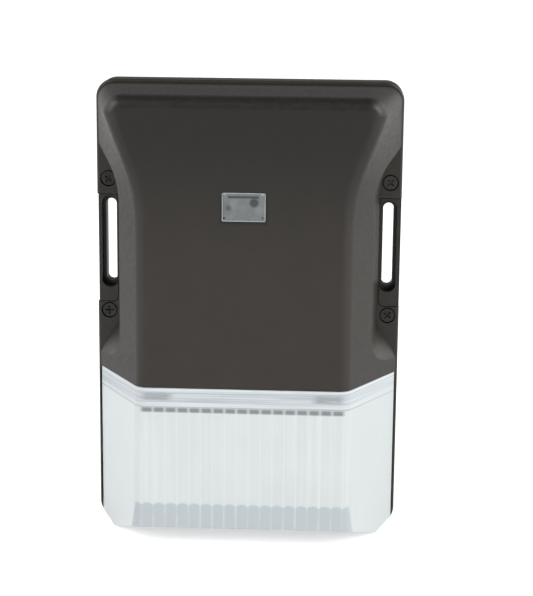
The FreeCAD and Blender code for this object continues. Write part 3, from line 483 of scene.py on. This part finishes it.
# raised rim inside the edge of the sensor window, with a tab at each top corner
windowRim = {"middle": 50.0, "half": (9.1, 6.0), "width": 0.4, "back": 47.45, "front": 47.8,
             "tabHalf": (0.6, 0.35), "tabPlace": (7.9, 5.4), "tabRise": 0.02,
             "colour": (rgb(146, 150, 153), rgb(158, 162, 165))}


def rectangle(shape, middle, half, depth):  # a face square to the view, at that depth
    place = Matrix.Translation(Vector((middle[0], -depth, middle[1])) * mm)
    place = place @ Matrix.Rotation(math.pi / 2, 4, "X") @ Matrix.Diagonal((half[0] * mm, half[1] * mm, 1, 1))
    made = bmesh.ops.create_grid(shape, x_segments=1, y_segments=1, size=1.0, matrix=place)
    return list({face for vert in made["verts"] for face in vert.link_faces})


def raiseFaces(shape, faces, height):  # gives a sheet its thickness, towards the front
    made = bmesh.ops.extrude_face_region(shape, geom=faces, use_keep_orig=True)["geom"]
    verts = [item for item in made if isinstance(item, bmesh.types.BMVert)]
    bmesh.ops.translate(shape, verts=verts, vec=(0, -height * mm, 0))


def buildWindowRim():
    rim = windowRim
    height = rim["front"] - rim["back"]
    shape = bmesh.new()
    face = rectangle(shape, (0, rim["middle"]), rim["half"], rim["back"])
    shape.normal_update()
    ring = bmesh.ops.inset_region(shape, faces=face, thickness=rim["width"] * mm, use_boundary=True,
                                  use_even_offset=True)["faces"]
    bmesh.ops.delete(shape, geom=face, context="FACES_ONLY")
    raiseFaces(shape, ring, height)
    for side in (-1, 1):
        tab = rectangle(shape, (side * rim["tabPlace"][0], rim["middle"] + rim["tabPlace"][1]),
                        rim["tabHalf"], rim["back"] + rim["tabRise"])
        raiseFaces(shape, tab, height)
    material = plainFinish("windowRimPlastic", *rim["colour"], rough=(0.25, 0.35), patchScale=200.0)
    addPiece("windowRim", closedMesh(shape, "windowRim"), "cover", "window_plastic", material)


# lens: an open-backed shell whose bottom falls towards the wall, with its low corners cut
lensShell = {"footHalf": 65.2, "topHalf": 44.4, "lowHalf": 46.7, "back": 12.05, "front": 48.0,
             "top": -28.2, "frontLow": -90.6, "footLow": -99.4, "fallEnd": 23.0,
             "cornerAcross": 8.0, "cornerUp": 4.0, "crease": 3.3, "creaseSteps": 12, "creaseTall": 20.0,
             "lowEdge": 0.8, "lowEdgeSteps": 3, "lowEdgesBelow": -80.0, "lowEdgeAngle": 0.4,
             "lowEdgeLength": 8.0, "margin": 1.0, "wall": 2.4,
             "flutes": 17, "flutePitch": 5.1, "fluteSteps": 8, "fluteRise": 0.9, "fluteSkin": 1.2,
             "fluteTop": -36.2, "fluteLow": -87.5}


def edgesOf(geometry):
    return [item for item in geometry if isinstance(item, bmesh.types.BMEdge)]


def bevelEdges(shape, edges, offset, segments):
    bmesh.ops.bevel(shape, geom=edges, offset=offset * mm, offset_type="OFFSET", segments=segments,
                    profile=0.5, affect="EDGES", material=-1, clamp_overlap=True)


def cutAway(shape, place, outward):  # takes off what lies past a plane, and closes the cut
    everything = shape.verts[:] + shape.edges[:] + shape.faces[:]
    cut = bmesh.ops.bisect_plane(shape, geom=everything, clear_outer=True, plane_co=Vector(place) * mm,
                                 plane_no=outward)["geom_cut"]
    bmesh.ops.contextual_create(shape, geom=edgesOf(cut))


def buildLens(material):
    lens = lensShell
    shape = bmesh.new()
    for vert in bmesh.ops.create_cube(shape, size=1.0)["verts"]:
        ahead, low = vert.co.y < 0, vert.co.z < 0
        half = (lens["lowHalf"] if low else lens["topHalf"]) if ahead else lens["footHalf"]
        depth = lens["front"] if ahead else lens["back"]
        up = lens["footLow"] if low else lens["top"]
        vert.co = Vector((math.copysign(half, vert.co.x), -depth, up)) * mm
    fall = Vector((0, lens["footLow"] - lens["frontLow"], lens["fallEnd"] - lens["front"]))
    cutAway(shape, (0, -lens["front"], lens["frontLow"]), fall)
    for side in (-1, 1):
        cutAway(shape, (side * lens["footHalf"], 0, lens["footLow"] + lens["cornerUp"]),
                Vector((side * lens["cornerUp"], 0, -lens["cornerAcross"])))
    bmesh.ops.recalc_face_normals(shape, faces=shape.faces)
    atFront, pastBack = (lens["margin"] - lens["front"]) * mm, -(lens["back"] + lens["margin"]) * mm
    creases = [edge for edge in shape.edges  # the two upright elbow lines
               if all(vert.co.y < atFront for vert in edge.verts)
               and abs(edge.verts[0].co.z - edge.verts[1].co.z) > lens["creaseTall"] * mm]
    bevelEdges(shape, creases, lens["crease"], lens["creaseSteps"])
    lowEdges = [edge for edge in shape.edges  # the sharp long ones, but for those at the wall
                if all(vert.co.z < lens["lowEdgesBelow"] * mm for vert in edge.verts)
                and any(vert.co.y < pastBack for vert in edge.verts)
                and edge.calc_face_angle(0) > lens["lowEdgeAngle"]
                and edge.calc_length() > lens["lowEdgeLength"] * mm]
    bevelEdges(shape, lowEdges, lens["lowEdge"], lens["lowEdgeSteps"])
    bmesh.ops.recalc_face_normals(shape, faces=shape.faces)
    if shape.calc_volume(signed=True) < 0:
        bmesh.ops.reverse_faces(shape, faces=shape.faces[:])
    openBack = [face for face in shape.faces if face.normal.y > 0.9]
    bmesh.ops.delete(shape, geom=openBack, context="FACES")
    piece = addPiece("lensShell", toMesh(shape, "lensShell"), "cover", "lens_plastic", material, "lens")
    wall = piece.modifiers.new("wall", "SOLIDIFY")
    wall.thickness, wall.offset = lens["wall"] * mm, -1.0


def buildFlutes(material):  # upright ridges on the inside of the lens's front wall
    lens = lensShell
    width, tall = lens["flutes"] * lens["flutePitch"], lens["fluteTop"] - lens["fluteLow"]
    inner = lens["front"] - lens["wall"]
    shape = bmesh.new()
    place = Matrix.Translation(Vector((0, -inner, (lens["fluteTop"] + lens["fluteLow"]) / 2)) * mm)
    place = place @ Matrix.Rotation(math.pi / 2, 4, "X") @ Matrix.Diagonal((width * mm, tall * mm, 1, 1))
    bmesh.ops.create_grid(shape, x_segments=lens["flutes"] * lens["fluteSteps"], y_segments=1, size=0.5,
                          matrix=place)
    for vert in shape.verts:
        turn = (vert.co.x / mm + width / 2) / lens["flutePitch"] * math.pi
        vert.co.y += lens["fluteRise"] * abs(math.sin(turn)) * mm
    raiseFaces(shape, shape.faces[:], lens["fluteSkin"])
    addPiece("lensFlutes", closedMesh(shape, "lensFlutes"), "cover", "lens_plastic", material)


# insulated leads; each route is a list of places: across, up and depth in millimetres
redSheath = (rgb(150, 28, 26), rgb(172, 38, 34))
leads = {
    "line_lead": dict(
        slot="black_sheath", radius=0.9, colour=(rgb(24, 24, 24), rgb(34, 34, 34)),
        routes=[[(-20, 62, 14), (-20, 57, 14), (-13, 49, 14), (-13, 44, 14)]]),
    "neutral_lead": dict(
        slot="white_sheath", radius=0.9, colour=(rgb(206, 206, 202), rgb(220, 220, 216)),
        routes=[[(12, 62, 14), (12, 57, 14), (13, 49, 14), (13, 44, 14)]]),
    "earth_lead": dict(
        slot="green_sheath", radius=0.9, colour=(rgb(40, 118, 56), rgb(50, 134, 66)),
        routes=[[(-34, 33, 7.1), (-34, 43, 7.1), (-32, 50, 10.1), (-26, 52, 14), (-26, 44, 14)]]),
    "led_leads": dict(
        slot="red_sheath", radius=0.9, colour=redSheath,
        routes=[[(across, 62, 14), (across, 54, 14), (across, 40, 5), (across, -28.5, 5),
                 (across, -34.5, 8.9), (across, -39.5, 8.9)] for across in (22.7, 25.3)]),
    "photocell_leads": dict(
        slot="red_sheath", radius=0.5, colour=redSheath,
        routes=[[(across, 55, 41.6), (across, 63, 41.6), (across, 70, 34), (across, 70, 26)]
                for across in (-3.2, -1.2)]),
}


def buildLeads():
    for node, lead in leads.items():
        curve = bpy.data.curves.new(node + "Line", "CURVE")
        curve.dimensions = "3D"
        curve.bevel_depth = lead["radius"] * mm
        curve.bevel_resolution = 3
        curve.use_fill_caps = True
        for route in lead["routes"]:
            spline = curve.splines.new("NURBS")
            spline.points.add(len(route) - 1)
            for point, (across, up, depth) in zip(spline.points, route):
                point.co = (across * mm, -depth * mm, up * mm, 1)
            spline.order_u = 3
            spline.use_endpoint_u = True
        material = plainFinish(node + "Sheath", *lead["colour"], rough=(0.35, 0.45), patchScale=90.0)
        addPiece(node + "Line", curve, "housing", lead["slot"], material, node)


def buildPieces(lensPlastic):
    buildLens(lensPlastic)
    buildFlutes(lensPlastic)
    buildWindowRim()
    buildLeads()
    print("pieces built")


# stage: floor, white surround, lamps and camera
stageLook = {"floorDark": rgb(238, 239, 240), "floorLight": rgb(236, 237, 238), "floorSize": 14.0,
             "cameraGlow": 0.6, "mirrorGlow": 0.2,
             "left": 1.4, "right": 1.95, "middle": 0.06, "turnStart": 0.35, "turnEnd": 0.75}


def backgroundRays(tree):  # 1 for the camera and through glass, a share of that for reflections
    path = addNode(tree, "ShaderNodeLightPath").outputs
    shown = calc(tree, "MAXIMUM", path["Is Camera Ray"], path["Is Transmission Ray"])
    mirrored = calc(tree, "MULTIPLY", path["Is Glossy Ray"], stageLook["mirrorGlow"])
    return calc(tree, "MAXIMUM", shown, mirrored)


def buildFloor():
    shape = bmesh.new()
    bmesh.ops.create_grid(shape, x_segments=1, y_segments=1, size=stageLook["floorSize"] / 2,
                          matrix=Matrix.Translation((0, 0, cadLow.z)))
    floor = bpy.data.objects.new("floor", toMesh(shape, "floor"))
    bpy.context.scene.collection.objects.link(floor)
    material, tree, shader, place = newMaterial("paleFloor")
    patches = placeGroup(tree, "patches", Vector=place, Scale=3.0, Dark=stageLook["floorDark"],
                         Light=stageLook["floorLight"])
    feed(tree, shader["Base Color"], patches["Color"])
    shader["Roughness"].default_value = 0.9
    shader["Specular IOR Level"].default_value = 0.1
    shader["Emission Color"].default_value = (1, 1, 1, 1)
    glow = calc(tree, "MULTIPLY", backgroundRays(tree), stageLook["cameraGlow"])
    feed(tree, shader["Emission Strength"], glow)
    floor.data.materials.append(material)


def buildWorld():  # white to look at; as light, bright at both sides and dim before and behind
    world = bpy.data.worlds.new("surround")
    bpy.context.scene.world = world
    world.use_nodes = True
    tree = world.node_tree
    background = tree.nodes["Background"]
    background.inputs["Color"].default_value = (1, 1, 1, 1)
    split = addNode(tree, "ShaderNodeSeparateXYZ")
    feed(tree, split.inputs[0], addNode(tree, "ShaderNodeTexCoord").outputs["Generated"])
    room = stageLook["middle"]
    for turn, side in ((-1, "left"), (1, "right")):
        across = calc(tree, "MULTIPLY", split.outputs[0], turn)
        room = calc(tree, "ADD", room, remap(tree, across, stageLook["turnStart"], stageLook["turnEnd"],
                                             0.0, stageLook[side] - stageLook["middle"]))
    feed(tree, background.inputs["Strength"],
         calc(tree, "MAXIMUM", room, backgroundRays(tree)))


lamps = {
    "leftSoftbox": dict(place=(-1.1, -1.0, 0.9), size=(0.9, 0.9), power=12.0),
    "rightSoftbox": dict(place=(1.1, -1.0, 0.9), size=(0.9, 0.9), power=13.0),
    "backSoftbox": dict(place=(0.0, 1.2, 1.3), size=(1.8, 1.4), power=1.5),
}


def buildLamps():
    aim = Vector((0, -0.02, 0.0))
    for name, lamp in lamps.items():
        light = bpy.data.lights.new(name, "AREA")
        light.shape = "RECTANGLE"
        light.size, light.size_y = lamp["size"]
        light.energy = lamp["power"]
        holder = bpy.data.objects.new(name, light)
        holder.location = lamp["place"]
        holder.rotation_euler = (aim - holder.location).to_track_quat("-Z", "Y").to_euler()
        bpy.context.scene.collection.objects.link(holder)


# the photograph's camera, found from its vanishing lines
camera = {"imageWidth": 533, "imageHeight": 596, "focalPixels": 1636.8, "sensor": 36.0,
          "pitch": 12.165, "yaw": 2.699, "roll": 0.573, "place": (41.4, -717.1, 156.3)}


def buildCamera():
    pitch, yaw, roll = (math.radians(camera[key]) for key in ("pitch", "yaw", "roll"))
    ahead = Matrix(((1, 0, 0), (0, 0, -1), (0, 1, 0)))  # rows: right, down, forward
    turned = Matrix.Rotation(roll, 3, "Z") @ Matrix.Rotation(pitch, 3, "X") @ Matrix.Rotation(yaw, 3, "Y")
    rows = turned @ ahead
    flipped = Matrix.Diagonal((1, -1, -1)) @ rows
    data = bpy.data.cameras.new("photoCamera")
    data.sensor_width = camera["sensor"]
    data.lens = camera["focalPixels"] * camera["sensor"] / max(camera["imageWidth"], camera["imageHeight"])
    holder = bpy.data.objects.new("photoCamera", data)
    holder.matrix_world = Matrix.Translation(Vector(camera["place"]) * mm) @ flipped.transposed().to_4x4()
    data.clip_start, data.clip_end = 0.01, 40.0
    bpy.context.scene.collection.objects.link(holder)
    bpy.context.scene.camera = holder


def buildStage():
    view = bpy.context.scene.view_settings
    view.view_transform = "Standard"
    buildFloor()
    buildWorld()
    buildLamps()
    buildCamera()
    print("stage ready")


lensPlastic = lensMaterial()
dressNodes(lensPlastic)
buildPieces(lensPlastic)
buildStage()
